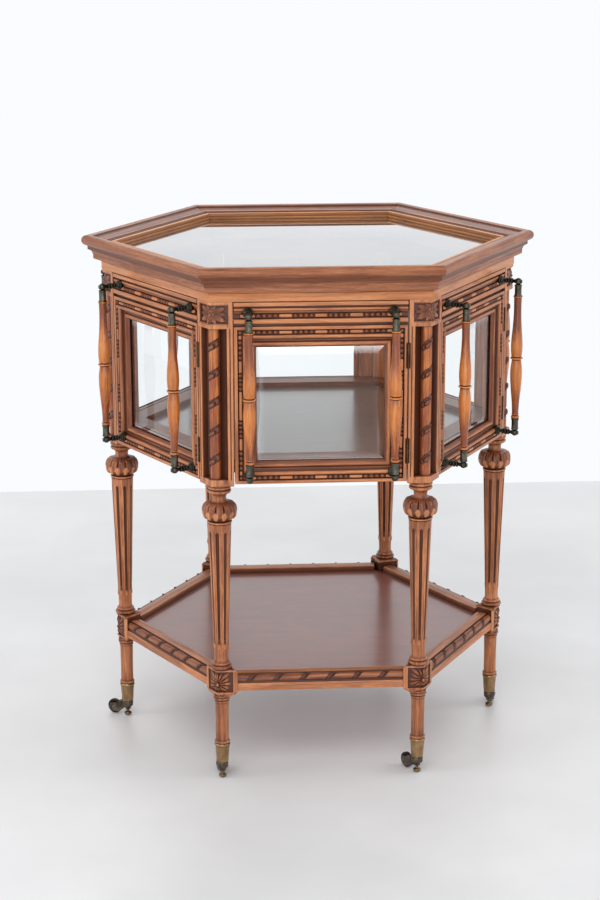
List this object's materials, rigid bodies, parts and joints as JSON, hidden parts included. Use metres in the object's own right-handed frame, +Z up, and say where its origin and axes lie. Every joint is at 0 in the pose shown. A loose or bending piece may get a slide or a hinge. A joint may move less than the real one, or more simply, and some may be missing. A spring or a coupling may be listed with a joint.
{
  "type": "hexagonal vitrine table",
  "caption": "Hexagonal glazed display table with outward-opening side doors, turned bar handles, fluted legs on brass castors and a railed lower shelf.",
  "frame": {"origin": "on the floor under the middle of the table", "axes": "+Z up; -Y is the outward normal of the front door (door 1); doors and corners are numbered anticlockwise seen from above"},
  "size_m": [0.709, 0.6396, 0.8],
  "materials": {
    "walnut": "polished, reddish brown, darker in the recesses",
    "turned_walnut": "polished, warm brown",
    "golden_walnut": "polished, golden brown",
    "board": "satin, reddish brown",
    "dull_brass": "aged, greenish grey",
    "castor_brass": "aged, brown",
    "clear_glass": "clear"
  },
  "bodies": {
    "case": {"top_frame": "walnut", "top_bead": "golden_walnut", "top_glass": "clear_glass", "cabinet_rails": "walnut", "cabinet_sills": "walnut", "cabinet_floor": "board", "post_columns": "turned_walnut", "post_rosettes": "walnut", "post_hinges": "dull_brass", "leg_1": "walnut", "leg_2": "walnut", "leg_3": "walnut", "leg_4": "walnut", "leg_5": "walnut", "leg_6": "walnut", "shelf_rails": "walnut", "shelf_board": "board", "castor_cups": "castor_brass"},
    "door_1": {"door_frame_1": "walnut", "door_glass_1": "clear_glass", "door_bars_1": "turned_walnut", "door_brackets_1": "dull_brass", "door_hinges_1": "dull_brass"},
    "door_2": {"door_frame_2": "walnut", "door_glass_2": "clear_glass", "door_bars_2": "turned_walnut", "door_brackets_2": "dull_brass", "door_hinges_2": "dull_brass"},
    "door_3": {"door_frame_3": "walnut", "door_glass_3": "clear_glass", "door_bars_3": "turned_walnut", "door_brackets_3": "dull_brass", "door_hinges_3": "dull_brass"},
    "door_4": {"door_frame_4": "walnut", "door_glass_4": "clear_glass", "door_bars_4": "turned_walnut", "door_brackets_4": "dull_brass", "door_hinges_4": "dull_brass"},
    "door_5": {"door_frame_5": "walnut", "door_glass_5": "clear_glass", "door_bars_5": "turned_walnut", "door_brackets_5": "dull_brass", "door_hinges_5": "dull_brass"},
    "door_6": {"door_frame_6": "walnut", "door_glass_6": "clear_glass", "door_bars_6": "turned_walnut", "door_brackets_6": "dull_brass", "door_hinges_6": "dull_brass"},
    "castor_1": {"castor_fork_1": "castor_brass"},
    "castor_2": {"castor_fork_2": "castor_brass"},
    "castor_3": {"castor_fork_3": "castor_brass"},
    "castor_4": {"castor_fork_4": "castor_brass"},
    "castor_5": {"castor_fork_5": "castor_brass"},
    "castor_6": {"castor_fork_6": "castor_brass"},
    "wheel_1": {"castor_wheel_1": "castor_brass"},
    "wheel_2": {"castor_wheel_2": "castor_brass"},
    "wheel_3": {"castor_wheel_3": "castor_brass"},
    "wheel_4": {"castor_wheel_4": "castor_brass"},
    "wheel_5": {"castor_wheel_5": "castor_brass"},
    "wheel_6": {"castor_wheel_6": "castor_brass"}
  },
  "joints": [
    {"name": "door_hinge_1", "type": "hinge", "parent": "case", "child": "door_1", "pos_m": [0.12721, -0.28, 0.592], "axis": [0, 0, 1], "range_deg": [0, 100]},
    {"name": "door_hinge_2", "type": "hinge", "parent": "case", "child": "door_2", "pos_m": [0.30609, -0.02984, 0.592], "axis": [0, 0, 1], "range_deg": [0, 100]},
    {"name": "door_hinge_3", "type": "hinge", "parent": "case", "child": "door_3", "pos_m": [0.17888, 0.25017, 0.592], "axis": [0, 0, 1], "range_deg": [0, 100]},
    {"name": "door_hinge_4", "type": "hinge", "parent": "case", "child": "door_4", "pos_m": [-0.12721, 0.28, 0.592], "axis": [0, 0, 1], "range_deg": [0, 100]},
    {"name": "door_hinge_5", "type": "hinge", "parent": "case", "child": "door_5", "pos_m": [-0.30609, 0.02984, 0.592], "axis": [0, 0, 1], "range_deg": [0, 100]},
    {"name": "door_hinge_6", "type": "hinge", "parent": "case", "child": "door_6", "pos_m": [-0.17888, -0.25017, 0.592], "axis": [0, 0, 1], "range_deg": [0, 100]},
    {"name": "castor_swivel_1", "type": "hinge", "parent": "case", "child": "castor_1", "pos_m": [0.15, -0.25981, 0.019], "axis": [0, 0, 1], "continuous": true},
    {"name": "castor_swivel_2", "type": "hinge", "parent": "case", "child": "castor_2", "pos_m": [0.3, 0, 0.019], "axis": [0, 0, 1], "continuous": true},
    {"name": "castor_swivel_3", "type": "hinge", "parent": "case", "child": "castor_3", "pos_m": [0.15, 0.25981, 0.019], "axis": [0, 0, 1], "continuous": true},
    {"name": "castor_swivel_4", "type": "hinge", "parent": "case", "child": "castor_4", "pos_m": [-0.15, 0.25981, 0.019], "axis": [0, 0, 1], "continuous": true},
    {"name": "castor_swivel_5", "type": "hinge", "parent": "case", "child": "castor_5", "pos_m": [-0.3, 0, 0.019], "axis": [0, 0, 1], "continuous": true},
    {"name": "castor_swivel_6", "type": "hinge", "parent": "case", "child": "castor_6", "pos_m": [-0.15, -0.25981, 0.019], "axis": [0, 0, 1], "continuous": true},
    {"name": "wheel_spin_1", "type": "hinge", "parent": "castor_1", "child": "wheel_1", "pos_m": [0.13675, -0.23861, 0.012], "axis": [-0.848, -0.5299, 0], "continuous": true},
    {"name": "wheel_spin_2", "type": "hinge", "parent": "castor_2", "child": "wheel_2", "pos_m": [0.30647, 0.02415, 0.012], "axis": [-0.9659, 0.2588, 0], "continuous": true},
    {"name": "wheel_spin_3", "type": "hinge", "parent": "castor_3", "child": "wheel_3", "pos_m": [0.1625, 0.28146, 0.012], "axis": [-0.866, 0.5, 0], "continuous": true},
    {"name": "wheel_spin_4", "type": "hinge", "parent": "castor_4", "child": "wheel_4", "pos_m": [-0.1625, 0.28146, 0.012], "axis": [-0.866, -0.5, 0], "continuous": true},
    {"name": "wheel_spin_5", "type": "hinge", "parent": "castor_5", "child": "wheel_5", "pos_m": [-0.32143, 0.01288, 0.012], "axis": [-0.515, -0.8572, 0], "continuous": true},
    {"name": "wheel_spin_6", "type": "hinge", "parent": "castor_6", "child": "wheel_6", "pos_m": [-0.15218, -0.2349, 0.012], "axis": [-0.9962, -0.0872, 0], "continuous": true}
  ]
}
